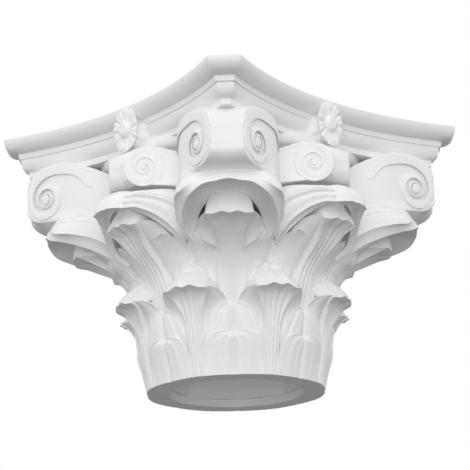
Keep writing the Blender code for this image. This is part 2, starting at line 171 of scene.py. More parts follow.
def thick_sheet(name: str, columns: int, rows: int, front: Surface, back: Surface) -> bpy.types.Object:
    """Extrude a grid into a closed slab and shape its two faces.

    Args:
        name: the object's name.
        columns: faces across, over u from -1 to 1.
        rows: faces along, over v from 0 to 1.
        front: the surface of the outer face.
        back: the surface of the inner face.

    Returns:
        The closed object.
    """
    clear_selection()
    bpy.ops.mesh.primitive_grid_add(x_subdivisions=columns, y_subdivisions=rows, size=2.0)
    obj = bpy.context.object
    obj.name = name
    with editing(obj):
        bpy.ops.mesh.extrude_region_move(TRANSFORM_OT_translate={"value": (0.0, 0.0, -1.0)})
        bpy.ops.mesh.select_all(action="SELECT")
        bpy.ops.mesh.normals_make_consistent(inside=False)
    flat = read_points(obj)
    u, v = flat[:, 0], (flat[:, 1] + 1.0) / 2.0
    outer = flat[:, 2] > -0.5
    move_points(obj, np.where(outer[:, None], front(u, v), back(u, v)))
    return obj


def ring_loft(name: str, count: int, rings: Sequence[Points]) -> bpy.types.Object:
    """Extrude a disc through rings of points into a closed solid.

    Args:
        name: the object's name.
        count: points in each ring.
        rings: the points of each ring, in the order of the disc's own vertices.

    Returns:
        The closed object.
    """
    clear_selection()
    bpy.ops.mesh.primitive_circle_add(vertices=count, radius=1.0, fill_type="TRIFAN")
    obj = bpy.context.object
    obj.name = name
    with editing(obj):
        for _ in range(len(rings) - 1):
            bpy.ops.mesh.extrude_region_move(TRANSFORM_OT_translate={"value": (0.0, 0.0, 1.0)})
        bpy.ops.mesh.select_all(action="SELECT")
        bpy.ops.mesh.normals_make_consistent(inside=False)
    flat = read_points(obj)
    level = np.rint(flat[:, 2]).astype(int)
    place = np.rint(np.arctan2(flat[:, 1], flat[:, 0]) / (2.0 * np.pi / count)).astype(int) % count
    stack = np.array(rings)
    points = stack[level, place]
    middle = np.hypot(flat[:, 0], flat[:, 1]) < 0.5
    points[middle] = stack[level[middle]].mean(axis=1)
    move_points(obj, points)
    return obj


def copy_of(obj: bpy.types.Object, name: str, matrix: Matrix) -> bpy.types.Object:
    """Copy an object with its own mesh, moved by a matrix that is applied to the mesh."""
    twin = obj.copy()
    twin.data = obj.data.copy()
    twin.name = name
    bpy.context.scene.collection.objects.link(twin)
    twin.data.transform(matrix)
    if matrix.determinant() < 0.0:
        with editing(twin):
            bpy.ops.mesh.flip_normals()
    return twin


def mirrored(obj: bpy.types.Object) -> bpy.types.Object:
    """Copy an object to the other hand of its arm."""
    return copy_of(obj, f"{obj.name}_right", Matrix.Scale(-1.0, 4, Vector((0.0, 1.0, 0.0))))


def on_arms(obj: bpy.types.Object, arm: Arm, offset: float = 0.0) -> list[bpy.types.Object]:
    """Copy an object that is modelled along +X to the four arms, and remove the first."""
    placed = [copy_of(obj, f"{obj.name}_{k}", Matrix.Rotation(angle + offset, 4, "Z"))
              for k, angle in enumerate(arm.angles())]
    bpy.data.objects.remove(obj, do_unlink=True)
    return placed


def combine(target: bpy.types.Object, others: Sequence[bpy.types.Object], operation: str) -> None:
    """Join others to the target, or cut them out of it, and apply the modifier."""
    group = bpy.data.collections.new("operands")
    bpy.context.scene.collection.children.link(group)
    for other in others:
        group.objects.link(other)
    modifier = target.modifiers.new("combine", "BOOLEAN")
    modifier.operation = operation
    modifier.solver = "MANIFOLD"
    modifier.operand_type = "COLLECTION"
    modifier.collection = group
    clear_selection()
    bpy.context.view_layer.objects.active = target
    target.select_set(True)
    bpy.ops.object.modifier_apply(modifier=modifier.name)
    for other in list(others):
        bpy.data.objects.remove(other, do_unlink=True)
    bpy.data.collections.remove(group)


# The casting's forms


@dataclass
class Body:
    """The plain bell behind the carving, with its lip, recess and bore."""

    height: float = 415.0 * MM
    recess_radius: float = 104.0 * MM
    recess_depth: float = 12.0 * MM
    bore_radius: float = 103.5 * MM
    bore_sides: int = 8
    sides: int = 80
    cutter_end: float = 20.0 * MM
    block: float = 800.0 * MM
    bell_rings: int = 20
    lip_rings: int = 12
    profile: tuple[tuple[float, float], ...] = (
        (134, -10), (134, 0), (134.5, 25), (131, 60), (132, 100), (139, 150), (150, 200), (165, 250),
        (180, 300), (189, 335))
    lip: tuple[tuple[float, float], ...] = (
        (196, 339.5), (202, 341.5), (206, 346), (207, 352), (205, 358), (200, 362.5), (194, 366))

    def radius(self, height: np.ndarray) -> np.ndarray:
        """Return the bell's radius at these heights."""
        table = np.array(self.profile) * MM
        return np.interp(height, table[:, 1], table[:, 0])

    def build(self) -> bpy.types.Object:
        """Model the bell as a turned solid."""
        bell = Curve(self.profile).at(np.linspace(0.0, 1.0, self.bell_rings))
        outline = np.vstack([bell, Curve(self.lip).at(np.linspace(0.0, 1.0, self.lip_rings))])
        outline[-1, 1] = self.height - self.cutter_end
        turns = np.arange(self.sides) * 2.0 * np.pi / self.sides
        rings = [np.stack([r * np.cos(turns), r * np.sin(turns), np.full(self.sides, z)], -1)
                 for r, z in outline]
        return ring_loft("bell", self.sides, rings)

    def cutters(self) -> list[bpy.types.Object]:
        """Model the recess and the bore as solids to cut away, and a block under the foot."""
        made = []
        for name, sides, radius, low, high in (
                ("recess", self.sides, self.recess_radius, -self.cutter_end, self.recess_depth),
                ("bore", self.bore_sides, self.bore_radius, self.recess_depth / 2.0,
                 self.height + self.cutter_end)):
            clear_selection()
            bpy.ops.mesh.primitive_cylinder_add(vertices=sides, radius=radius, depth=high - low,
                                                location=(0.0, 0.0, (low + high) / 2.0))
            made.append(self.settled(name))
        clear_selection()
        bpy.ops.mesh.primitive_cube_add(size=self.block, location=(0.0, 0.0, -self.block / 2.0))
        made.append(self.settled("below_foot"))
        return made

    @staticmethod
    def settled(name: str) -> bpy.types.Object:
        """Name the new primitive and put its place into its mesh."""
        obj = bpy.context.object
        obj.name = name
        obj.data.transform(obj.matrix_world)
        obj.matrix_world = Matrix.Identity(4)
        return obj


@dataclass
class Abacus:
    """The slab on top: four concave sides with cut corners, over its mouldings."""

    corner_reach: float = 358.0 * MM
    corner_width: float = 47.0 * MM
    side_reach: float = 220.0 * MM
    side_steps: int = 20
    cut_share: float = 1.3
    profile: tuple[tuple[float, float], ...] = (
        (0, 415), (0, 413.5), (0.6, 409.5), (2.2, 405), (4.8, 401), (8, 397.5), (11.8, 395), (15.5, 393.8),
        (17.5, 393.8), (17.7, 389), (18.4, 385), (20.4, 385), (20.8, 380), (22, 374.5), (24.4, 370),
        (27.4, 366.2), (30.4, 364), (31, 355))

    def outline(self, inset: float, height: float) -> Points:
        """Return the outline of the slab, drawn in by the inset all round, at this height."""
        half = self.corner_width / 2.0
        end_along = (self.corner_reach - half) / math.sqrt(2.0)
        dip = (self.corner_reach + half) / math.sqrt(2.0) - self.side_reach
        radius = (end_along**2 + dip**2) / (2.0 * dip)
        centre = self.side_reach + radius
        inner = radius + inset
        # The end of the arc lies on the cut, where along + out keeps one value
        reach = self.corner_reach - inset * self.cut_share
        total = reach * math.sqrt(2.0)
        lean = total - centre
        last = (lean + math.sqrt(2.0 * inner**2 - lean**2)) / 2.0
        swing = math.asin(last / inner)
        turns = np.linspace(-swing, swing, self.side_steps + 1)
        along, out = inner * np.sin(turns), centre - inner * np.cos(turns)
        level = np.full_like(out, height)
        return np.vstack([np.stack([out * math.cos(angle) - along * math.sin(angle),
                                    out * math.sin(angle) + along * math.cos(angle), level], -1)
                          for angle in Arm.SIDE.angles()])

    def build(self) -> bpy.types.Object:
        """Model the slab as a loft down its moulded profile."""
        rings = [self.outline(inset * MM, height * MM) for inset, height in reversed(self.profile)]
        return ring_loft("abacus", len(rings[0]), rings)


@dataclass(frozen=True)
class Lobe:
    """One lobe of a leaf: its inner rim and its outer edge, as reach, arc and height in millimetres."""

    rim: tuple[tuple[float, float, float], ...]
    edge: tuple[tuple[float, float, float], ...]
    hollow: float = 3.2
    bulge: float = 2.2
    turn_back: float = 4.0
    crest: float = 2.8
    flutes: int = 1
    flute_depth: float = 2.0
    edge_fall: float = 3.0
    end_fall: float = 3.0
    sink: float = 12.0
    least_depth: float = 8.0
    columns: int = 12
    rows: int = 16


@dataclass
class Leaf:
    """One kind of acanthus leaf: a fan with a cap where it bends over, and its lobes.

    The front holds reach and height up the fan, half_widths the half width at each height, and cap
    the steps in reach and height from the lip over the crown.
    """

    name: str
    front: tuple[tuple[float, float], ...]
    half_widths: tuple[tuple[float, float], ...]
    cap: tuple[tuple[float, float], ...]
    lobes: tuple[Lobe, ...]
    ribs: int = 5
    rib_height: float = 3.4
    trough: float = 6.0
    fan_rows: int = 26
    cap_rows: int = 12
    columns: int = 36
    end_fall: float = 7.0
    end_droop: float = 5.0
    end_power: float = 2.2
    wave: float = 1.6
    edge_fall: float = 5.0
    dome_power: float = 3.2
    cap_root_share: float = 0.35
    sink: float = 14.0
    inner_share: float = 0.7

    def build(self, body: Body) -> list[bpy.types.Object]:
        """Model the fan and its lobes along +X.

        Args:
            body: the bell that carries the leaf.

        Returns:
            The closed solids that make the leaf.
        """
        made = [self.fan(body)]
        for k, lobe in enumerate(self.lobes):
            left = self.lobe_solid(f"{self.name}_lobe_{k}", lobe, body)
            made += [left, mirrored(left)]
        return made

    def fan(self, body: Body) -> bpy.types.Object:
        """Model the fluted middle of the leaf and the smooth cap over its tip."""
        path, cap_path = Curve(self.front), Curve(self.cap)
        widths = np.array(self.half_widths) * MM
        split = self.fan_rows / (self.fan_rows + self.cap_rows)
        end_reach, end_height = np.array(self.front[-1]) * MM

        def lip(u: np.ndarray) -> tuple[np.ndarray, np.ndarray]:
            """Return the reach and height of the wavy lip."""
            bend = np.abs(u) ** self.end_power
            wave = self.wave * MM * np.cos(3.0 * np.pi * u) * (1.0 - 0.4 * np.abs(u))
            return end_reach - self.end_fall * MM * bend, end_height - self.end_droop * MM * bend - wave

        def outer(u: np.ndarray, v: np.ndarray) -> Points:
            t = np.clip(v / split, 0.0, 1.0)
            place, normal = path.at(t), path.normal(t)
            half = np.interp(place[:, 1], widths[:, 1], widths[:, 0])
            # Broad flutes with a sharp crease between each two
            ridge = np.abs(np.cos(self.ribs * np.pi * u / 2.0)) ** 0.6
            fade = 1.0 - ramp(t, 0.72, 0.97)
            trough = ramp(t, 0.55, 0.92) * self.trough * MM * (1.0 - u * u)
            lift = self.rib_height * MM * ridge * fade - trough * (1.0 - ramp(t, 0.90, 1.0))
            lift -= self.edge_fall * MM * np.abs(u) ** 4 * (1.0 - ramp(t, 0.5, 0.8))
            reach = place[:, 0] + normal[:, 0] * lift
            height = place[:, 1] + normal[:, 1] * lift
            lip_reach, lip_height = lip(u)
            near = ramp(t, 0.75, 1.0)
            reach += (lip_reach - end_reach) * near
            height += (lip_height - end_height) * near
            # The cap runs from the lip over the crown and down into the bell
            c = np.clip((v - split) / (1.0 - split), 0.0, 1.0)
            shape = cap_path.at(c)
            dome = np.sqrt(np.maximum(1.0 - np.abs(u) ** self.dome_power, 0.0))
            cap_reach = lip_reach + shape[:, 0] * (self.cap_root_share + (1.0 - self.cap_root_share) * dome)
            cap_height = lip_height + shape[:, 1] * dome
            cap = v > split + 1.0e-6
            return wrap(np.where(cap, cap_reach, reach), u * half, np.where(cap, cap_height, height))

        def inner(u: np.ndarray, v: np.ndarray) -> Points:
            t = np.clip(v / split, 0.0, 1.0)
            height = path.at(t)[:, 1]
            half = np.interp(height, widths[:, 1], widths[:, 0])
            c = np.clip((v - split) / (1.0 - split), 0.0, 1.0)
            height = height + c * self.cap[-1][1] * MM * 0.5
            return wrap(body.radius(height) - self.sink * MM, u * half * self.inner_share, height)

        return thick_sheet(f"{self.name}_fan", self.columns, self.fan_rows + self.cap_rows, outer, inner)

    def lobe_solid(self, name: str, lobe: Lobe, body: Body) -> bpy.types.Object:
        """Model one lobe between its rim and its edge, swelling between them and solid to the bell.

        Args:
            name: the object's name.
            lobe: the lobe's two curves and its relief.
            body: the bell that carries it.

        Returns:
            The closed solid.
        """
        rim, edge = Curve(lobe.rim), Curve(lobe.edge)

        def outer(u: np.ndarray, v: np.ndarray) -> Points:
            w = (u + 1.0) / 2.0
            a, b = rim.at(v), edge.at(v)
            place = a + (b - a) * w[:, None]
            rise = ramp(v, 0.0, 0.35) * (1.0 - ramp(v, 0.75, 1.0))
            # Across the lobe: a crest on the rim, a groove, a belly and the turned-back edge
            lift = lobe.crest * gauss(w, 0.03, 0.05) * (1.0 - ramp(v, 0.96, 1.0))
            lift = lift - lobe.hollow * gauss(w, 0.17, 0.07) * rise
            lift = lift + lobe.bulge * np.sin(np.pi * np.clip(w * 1.15, 0.0, 1.0)) * rise
            lift = lift - lobe.turn_back * gauss(w, 0.86, 0.10) * rise
            if lobe.flutes > 1:
                lines = creases(np.clip(w / 0.9, 0.0, 1.0), lobe.flutes, 0.6)
                lift = lift - lobe.flute_depth * lines * rise
            # The end is blunt and rolls back, and so does the outer edge
            lift = lift - lobe.end_fall * ramp(v, 0.93, 1.0) - lobe.edge_fall * ramp(w, 0.88, 1.0)
            return wrap(place[:, 0] + lift * MM, place[:, 1], place[:, 2])

        def inner(u: np.ndarray, v: np.ndarray) -> Points:
            w = (u + 1.0) / 2.0
            a, b = rim.at(v), edge.at(v)
            place = a + (b - a) * w[:, None]
            deep = np.minimum(body.radius(place[:, 2]) - lobe.sink * MM, place[:, 0] - lobe.least_depth * MM)
            return wrap(deep, place[:, 1] * 0.94, place[:, 2] - 2.0 * MM * v)

        return thick_sheet(name, lobe.columns, lobe.rows, outer, inner)


@dataclass
class Hood:
    """The hollow leaf that wraps the underside of a pair of scrolls like a scoop.

    Its four lines run from the arm's middle round to the bell: the top edge, the widest line, the
    lower edge and the line where the hollow ends.
    """

    name: str
    top: tuple[tuple[float, float, float], ...]
    wide: tuple[tuple[float, float, float], ...]
    low: tuple[tuple[float, float, float], ...]
    deep: tuple[tuple[float, float, float], ...]
    wall: float = 2.5
    arch: float = 5.0
    wide_share: float = 0.68
    belly: float = 3.0
    bands: int = 4
    band_share: float = 0.46
    groove_depth: float = 2.6
    knurl: float = 0.0
    knurl_rate: float = 30.0
    peak: float = 4.0
    peak_width: float = 0.035
    scallop_rate: float = 60.0
    columns: int = 46
    rows: int = 28

    def build(self) -> bpy.types.Object:
        """Model the scoop as a slab from its top edge to its lower edge, round the arm."""
        top, wide, low, deep = Curve(self.top), Curve(self.wide), Curve(self.low), Curve(self.deep)

        def outward(u: np.ndarray) -> Points:
            """Return the level directions out of the scoop."""
            out = np.stack([np.full_like(u, 0.6), 0.8 * np.sign(u) * ramp(np.abs(u), 0.05, 0.4)], -1)
            return out / np.linalg.norm(out, axis=-1, keepdims=True)

        def handed(points: Points, u: np.ndarray) -> Points:
            """Put points on the side of the arm that u stands for."""
            points[:, 1] *= np.sign(u) + (u == 0.0)
            return points

        def outer(u: np.ndarray, v: np.ndarray) -> Points:
            a, b, c = top.at(np.abs(u)), wide.at(np.abs(u)), low.at(np.abs(u))
            over = np.clip(v / self.wide_share, 0.0, 1.0)[:, None]
            under = np.clip((v - self.wide_share) / (1.0 - self.wide_share), 0.0, 1.0)[:, None]
            place = handed(a + (b - a) * over + (c - b) * under, u)
            swell = self.belly * MM * np.sin(np.pi * over[:, 0]) * ramp(np.abs(u), 0.15, 0.35)
            place[:, :2] += outward(u) * swell[:, None]
            place[:, 2] += self.arch * 0.5 * MM * np.sin(np.pi * under[:, 0])
            flank = ramp(np.abs(u), 0.14, 0.28) * (1.0 - ramp(np.abs(u), 0.80, 1.0))
            band = np.clip(v / self.band_share, 0.0, 1.0)
            crease = creases(band, self.bands, 0.75)
            cut = flank * self.groove_depth * MM * crease * (band < 1.0) * ramp(v, 0.0, 0.03)
            notches = 1.0 - np.abs(np.cos(u * self.knurl_rate)) ** 0.5
            cut += self.knurl * MM * notches * (1.0 - ramp(np.abs(u), 0.26, 0.32))
            place[:, :2] -= outward(u) * cut[:, None]
            place[:, 2] += self.scallops(u, v)
            return place

        def inner(u: np.ndarray, v: np.ndarray) -> Points:
            rim, end = low.at(np.abs(u)), deep.at(np.abs(u))
            place = handed(rim + (end - rim) * (1.0 - v)[:, None], u)
            place[:, 2] += self.arch * MM * np.sin(np.pi * (1.0 - v)) + 0.5 * MM
            place[:, :2] -= outward(u) * self.wall * MM
            place[:, 2] += self.scallops(u, v)
            return place

        return thick_sheet(self.name, self.columns, self.rows, outer, inner)

    def scallops(self, u: np.ndarray, v: np.ndarray) -> np.ndarray:
        """Return the rise and fall of the lower edge about the arm's middle."""
        lip = (1.0 - ramp(np.abs(u), 0.10, 0.30)) * ramp(v, 0.5, 1.0)
        return lip * (self.peak * gauss(u, 0.0, self.peak_width) - np.cos(u * self.scallop_rate)) * MM


@dataclass
class Scroll:
    """One scroll of a pair: a flat-sided stalk that ends in a disc with a wound rib.

    The eye is given by reach, arc and height. The strip is the reach and arc of the narrow front
    between the two scrolls. Each turn of the rib is an angle, its inner radius and its width.
    """

    name: str
    eye: tuple[float, float, float]
    rise: float
    fall: float
    strip: tuple[float, float]
    crease: float
    flank: float
    root: float
    turns: tuple[tuple[float, float, float], ...]
    eye_radius: float
    blunt: float = 0.38
    rib_height: float = 2.8
    rib_steps: int = 90
    rib_smoothing: int = 7
    rib_start: float = 18.0
    rib_end: float = 6.0
    rib_section: tuple[tuple[float, float], ...] = (
        (0.0, -1.6), (0.05, 0.75), (0.22, 1.0), (0.80, 0.9), (0.97, 0.5), (1.0, -1.6))
    dish: float = 2.2
    border_fall: float = 1.5
    softness: float = 3.0
    face_steps: int = 22
    coin: float = 0.0

    def slope(self) -> float:
        """Return how far the face moves out for each step towards the axis."""
        return (self.eye[1] - self.strip[1]) / (self.strip[0] - self.eye[0])

    def face_arc(self, reach: np.ndarray) -> np.ndarray:
        """Return the distance of the face from the arm at this reach, in metres."""
        out = self.strip[1] * MM + self.slope() * (self.strip[0] * MM - reach)
        limit = self.flank * MM
        return limit - np.log1p(np.exp(-(out - limit) / (self.softness * MM))) * self.softness * MM

    def top_and_bottom(self, reach: np.ndarray) -> tuple[np.ndarray, np.ndarray]:
        """Return the heights of the upper and lower outline at this reach."""
        eye_reach, _, eye_height = np.array(self.eye) * MM
        nose = self.strip[0] * MM - eye_reach
        past = np.clip((reach - eye_reach) / nose, 0.0, 1.0)
        before = np.clip((eye_reach - reach) / (eye_reach - self.root * MM), 0.0, 1.0)
        bow = np.sqrt(np.maximum(1.0 - past**2, 0.0)) * (1.0 - self.blunt) + self.blunt
        hump = 0.06 * np.sin(np.pi * np.clip(before * 2.2, 0.0, 1.0))
        high = eye_height + self.rise * MM * (bow + hump - 0.75 * before**2)
        low = eye_height - self.fall * MM * (bow + 0.25 * before)
        return high, low

    def build(self) -> list[bpy.types.Object]:
        """Model the stalk with its disc, the wound rib and the eye."""
        made = [self.stalk(), self.rib(), self.eye_button()]
        if self.coin:
            made.append(self.coin_disc())
        return made + [mirrored(obj) for obj in made]

    def stalk(self) -> bpy.types.Object:
        """Model the stalk from the bell out to its rounded nose."""

        def run(u: np.ndarray, v: np.ndarray) -> tuple[np.ndarray, np.ndarray]:
            share = np.sin(v * np.pi / 2.0)
            reach = (self.root + (self.strip[0] - self.root) * share) * MM
            high, low = self.top_and_bottom(reach)
            return reach, (high + low) / 2.0 + u * (high - low) / 2.0

        def outer(u: np.ndarray, v: np.ndarray) -> Points:
            reach, height = run(u, v)
            across = self.face_arc(reach)
            # The face is dished inside a raised band along its upper and outer edge
            edge = 1.0 - np.abs(u)
            across -= self.dish * MM * ramp(edge, 0.10, 0.26) * ramp(v, 0.1, 0.35)
            across -= self.border_fall * MM * (1.0 - ramp(edge, 0.0, 0.05))
            return np.stack([reach, across, height], -1)

        def inner(u: np.ndarray, v: np.ndarray) -> Points:
            reach, height = run(u, v)
            past = np.clip((reach - self.eye[0] * MM) / ((self.strip[0] - self.eye[0]) * MM), 0.0, 1.0)
            return np.stack([reach - self.crease * MM * past, np.full_like(u, -1.0 * MM), height], -1)

        return thick_sheet(f"{self.name}_stalk", self.face_steps, self.face_steps, outer, inner)

    def frame_at_eye(self) -> tuple[Points, Points, Points]:
        """Return the eye's place on the face, the way outwards along the face and the face's normal."""
        lean = math.atan(self.slope())
        centre = np.array(self.eye) * MM
        return (centre, np.array([math.cos(lean), -math.sin(lean), 0.0]),
                np.array([math.sin(lean), math.cos(lean), 0.0]))

    def rib(self) -> bpy.types.Object:
        """Model the raised band that winds into the eye, by its inner edge and its width."""
        centre, along, normal = self.frame_at_eye()
        table = np.array(self.turns)
        last = self.rib_steps - 1
        angles = np.linspace(table[0, 0], table[-1, 0], self.rib_steps)
        kernel = np.ones(self.rib_smoothing) / self.rib_smoothing

        def smoothed(values: np.ndarray) -> np.ndarray:
            """Return the table's values along the rib, without the table's corners."""
            steps = np.interp(-angles, -table[:, 0], values)
            return np.convolve(np.pad(steps, self.rib_smoothing // 2, mode="edge"), kernel, mode="valid") * MM

        inner, wide = smoothed(table[:, 1]), smoothed(table[:, 2])
        rings = []
        for k, angle in enumerate(np.radians(angles)):
            out = along * math.cos(angle) + np.array([0.0, 0.0, math.sin(angle)])
            # The rib rises out of the face at its start and thins at its end
            scale = max(min(1.0, k / self.rib_start, (last - k) / self.rib_end + 0.3), 0.06)
            ring = np.array([centre + out * (inner[k] + x * wide[k]) for x, _ in self.rib_section])
            # The band lies on the face, also where the face turns along the arm
            ring[:, 1] = self.face_arc(ring[:, 0])
            lift = np.array([y * self.rib_height * MM * (scale if y > 0.0 else 1.0)
                             for _, y in self.rib_section])
            rings.append(ring + normal * lift[:, None])
        return ring_loft(f"{self.name}_rib", len(self.rib_section), rings)

    def coin_disc(self) -> bpy.types.Object:
        """Model the round disc that stands proud of the stalk's nose."""
        profile = ((0.93, -9.0), (0.97, -5.0), (1.0, -3.5), (1.0, -0.6), (0.96, 0.4), (0.80, 0.4),
                   (0.30, 0.2))
        return self.turned("coin", self.coin, profile, 40)

    def eye_button(self) -> bpy.types.Object:
        """Model the flat round eye."""
        return self.turned("eye", self.eye_radius, ((1.0, -4.0), (1.0, 1.2), (0.86, 2.0), (0.45, 2.2)), 24)

    def turned(self, part: str, radius: float, profile: Sequence[tuple[float, float]],
               sides: int) -> bpy.types.Object:
        """Model a round form about the eye from shares of its radius and lifts off the face."""
        centre, along, normal = self.frame_at_eye()
        turns = np.arange(sides) * 2.0 * np.pi / sides
        ways = [along * math.cos(t) + np.array([0.0, 0.0, math.sin(t)]) for t in turns]
        rings = [np.array([centre + way * radius * MM * size + normal * lift * MM for way in ways])
                 for size, lift in profile]
        return ring_loft(f"{self.name}_{part}", sides, rings)


@dataclass
class Flower:
    """The flower on each side of the abacus, with the ribbed bud that carries it."""

    reach: float = 221.0
    height: float = 378.5
    radius: float = 35.5
    width_share: float = 0.78
    petals: int = 10
    petal_steps: int = 8
    groove_depth: float = 3.4
    vein_depth: float = 1.2
    bud_steps: int = 64
    bud_groove: float = 0.13
    bud_radius: float = 29.5

    def build(self) -> list[bpy.types.Object]:
        """Model the petals with their button, and the bud."""
        return [self.bloom(), self.bud()]

    def bloom(self) -> bpy.types.Object:
        """Model the petals as one dished rosette with a round button."""
        count = self.petals * self.petal_steps
        turns = np.arange(count) * 2.0 * np.pi / count
        phase = (np.arange(count) % self.petal_steps) / self.petal_steps
        # 0 along a petal's middle and 1 between two petals
        edge = np.abs(2.0 * phase - 1.0)
        notch = 1.0 - 0.13 * edge**3 - 0.05 * gauss(edge, 0.0, 0.22)
        groove, vein = gauss(edge, 1.0, 0.30), gauss(edge, 0.0, 0.25)
        rings = []
        for size, reach, depth in ((0.25, -16, 0), (0.80, -9, 0.3), (0.97, -3, 0.8), (1.00, 0.5, 1),
                                   (0.86, 2, 1), (0.66, 0.8, 1), (0.48, -0.6, 0.8), (0.37, -1.6, 0.3),
                                   (0.34, 1.8, 0), (0.30, 4.2, 0), (0.22, 5.4, 0), (0.15, 4.8, 0),
                                   (0.08, 5.2, 0)):
            spread = size * (1.0 + (notch - 1.0) * ramp(np.array(size), 0.4, 0.95))
            out = (reach - depth * (self.groove_depth * groove + self.vein_depth * vein)) * MM
            rings.append(np.stack([self.reach * MM + out,
                                   self.radius * self.width_share * MM * spread * np.cos(turns),
                                   self.height * MM + self.radius * MM * spread * np.sin(turns)], -1))
        return ring_loft("flower", count, rings)

    def bud(self) -> bpy.types.Object:
        """Model the swollen, ribbed bud behind the flower."""
        count = self.bud_steps
        turns = np.arange(count) * 2.0 * np.pi / count
        rib = 1.0 - self.bud_groove * np.abs(np.cos(4.0 * turns)) ** 6
        rings = []
        for size, back in ((0.30, 0), (0.62, 2), (0.85, 9), (0.97, 19), (1.0, 30), (0.96, 42), (0.80, 56),
                           (0.50, 66)):
            spread = self.bud_radius * MM * size * rib
            rings.append(np.stack([np.full(count, (self.reach - 6.0 - back) * MM), spread * np.cos(turns),
                                   (self.height - 3.0) * MM + spread * np.sin(turns) * 0.96], -1))
        return ring_loft("bud", count, rings)


# Finish and studio


def add_node(tree: bpy.types.NodeTree, kind: str, **values: float | tuple[float, ...]) -> bpy.types.Node:
    """Add a shader node and set its inputs by name, each space written as an underscore."""
    node = tree.nodes.new(f"ShaderNode{kind}")
    for name, value in values.items():
        node.inputs[name.replace("_", " ")].default_value = value
    return node


@dataclass(frozen=True)
class PrimerFinish:
    """Matt white primer over a moulded casting."""

    color: tuple[float, float, float, float] = (0.90, 0.90, 0.895, 1.0)
    mottle_color: tuple[float, float, float, float] = (0.84, 0.84, 0.84, 1.0)
    mottle_scale: float = 14.0
    mottle_share: float = 0.25
    roughness: float = 0.48
    grain_scale: float = 900.0
    grain_height: float = 0.00006
    grain_strength: float = 0.5

    def material(self) -> bpy.types.Material:
        """Return the material, with a faint grain and a slightly darker mottling."""
        material = bpy.data.materials.new("white_primer")
        material.use_nodes = True
        tree = material.node_tree
        links, shader = tree.links, tree.nodes["Principled BSDF"]
        shader.inputs["Roughness"].default_value = self.roughness
        place = add_node(tree, "TexCoord")
        mottle = add_node(tree, "TexNoise", Scale=self.mottle_scale, Detail=3.0)
        share = add_node(tree, "MapRange", From_Min=0.45, From_Max=0.75, To_Max=self.mottle_share)
        blend = add_node(tree, "MixRGB", Color1=self.color, Color2=self.mottle_color)
        grain = add_node(tree, "TexNoise", Scale=self.grain_scale, Detail=2.0)
        bump = add_node(tree, "Bump", Distance=self.grain_height, Strength=self.grain_strength)
        links.new(place.outputs["Object"], mottle.inputs["Vector"])
        links.new(place.outputs["Object"], grain.inputs["Vector"])
        links.new(mottle.outputs["Fac"], share.inputs["Value"])
        links.new(share.outputs["Result"], blend.inputs["Fac"])
        links.new(blend.outputs["Color"], shader.inputs["Base Color"])
        links.new(grain.outputs["Fac"], bump.inputs["Height"])
        links.new(bump.outputs["Normal"], shader.inputs["Normal"])
        return material


@dataclass(frozen=True)
class Lamp:
    """A square soft lamp: its bearing and rise in degrees from the camera's side, and its distance."""

    name: str
    bearing: float
    rise: float
    distance: float
    power: float
    size: float


